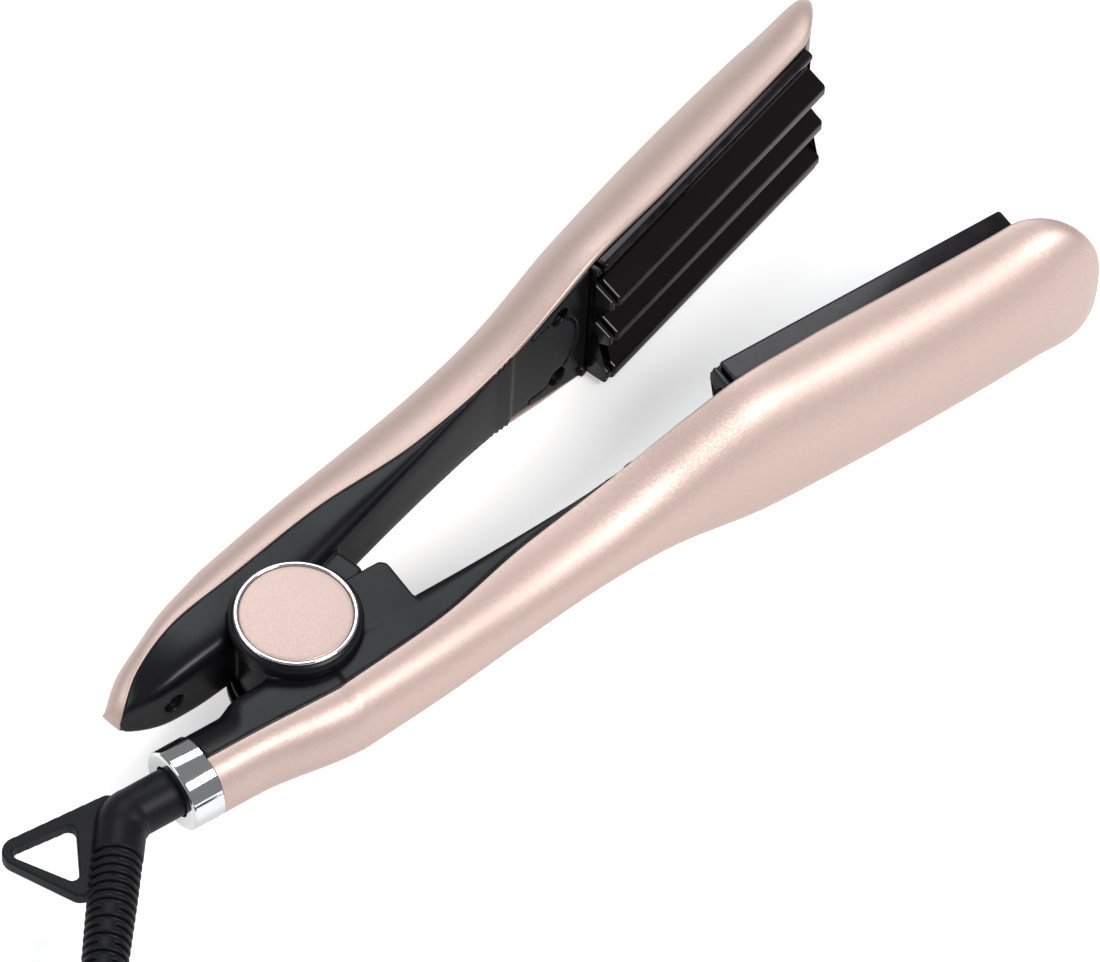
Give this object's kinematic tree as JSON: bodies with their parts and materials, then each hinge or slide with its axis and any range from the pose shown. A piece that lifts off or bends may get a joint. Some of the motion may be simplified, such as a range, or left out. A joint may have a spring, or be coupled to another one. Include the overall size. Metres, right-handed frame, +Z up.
{
  "type": "hair waver",
  "caption": "Hair waver with two rose gold arms, interlocking wave plates, chrome pivot ring and a swivelling black cord with hang loop.",
  "frame": {"origin": "on the pivot axis, at the centre of the lower pivot button's outer face, with the waver lying on its side", "axes": "+X along the cord arm to its tip, +Y towards the free arm, +Z up along the pivot axis"},
  "size_m": [0.3657, 0.2812, 0.0496],
  "materials": {
    "rose": "satin rose gold lacquer",
    "black_shell": "satin black",
    "plate_coat": "glossy dark ceramic coating on aluminium",
    "holder": "dark grey heat resistant plastic",
    "ceramic": "unglazed white ceramic",
    "steel": "bright",
    "wire": "silicone sleeve",
    "board": "solder mask",
    "lens": "translucent red",
    "nylon": "natural nylon",
    "chrome": "mirror",
    "rubber": "matt black"
  },
  "bodies": {
    "cord_arm": {"lower_cover": "rose", "lower_housing": "black_shell", "lower_frame": "black_shell", "lower_plate": "plate_coat", "lower_plate_holder": "holder", "lower_heater": "ceramic", "lower_thermostat": "steel", "lower_wires": "wire", "lower_screws": "steel", "circuit_board": "board", "indicator_lens": "lens", "pivot_pin": "steel", "pivot_washers": "nylon", "torsion_spring": "steel", "upper_pivot_cap": "black_shell", "lower_pivot_cap": "black_shell", "upper_chrome_ring": "chrome", "lower_chrome_ring": "chrome", "upper_pivot_button": "rose", "lower_pivot_button": "rose", "ferrule": "chrome", "cord_lead": "rubber", "cord_coil": "rubber", "plug_lead": "rubber", "cord_tie": "rubber", "plug_body": "rubber", "plug_pins": "steel"},
    "free_arm": {"upper_cover": "rose", "upper_housing": "black_shell", "upper_frame": "black_shell", "upper_plate": "plate_coat", "upper_plate_holder": "holder", "upper_heater": "ceramic", "upper_thermostat": "steel", "upper_wires": "wire", "upper_screws": "steel"},
    "power_key": {"power_button": "black_shell"},
    "swivel": {"strain_relief": "rubber"}
  },
  "joints": [
    {"name": "arm_hinge", "type": "hinge", "parent": "cord_arm", "child": "free_arm", "pos_m": [0, 0, 0.016], "axis": [0, 0, 1], "range_deg": [-17.7, 0], "stiffness_Nm_per_rad": 0.9, "springref_deg": 11.46},
    {"name": "cord_swivel", "type": "hinge", "parent": "cord_arm", "child": "swivel", "pos_m": [-0.045, -0.0178, 0.016], "axis": [1, 0, 0], "range_deg": [-180, 180]},
    {"name": "power_push", "type": "slide", "parent": "cord_arm", "child": "power_key", "axis": [0, 1, 0], "range_m": [-0.001, 0], "stiffness_N_per_m": 600, "springref_m": 0.0005}
  ]
}
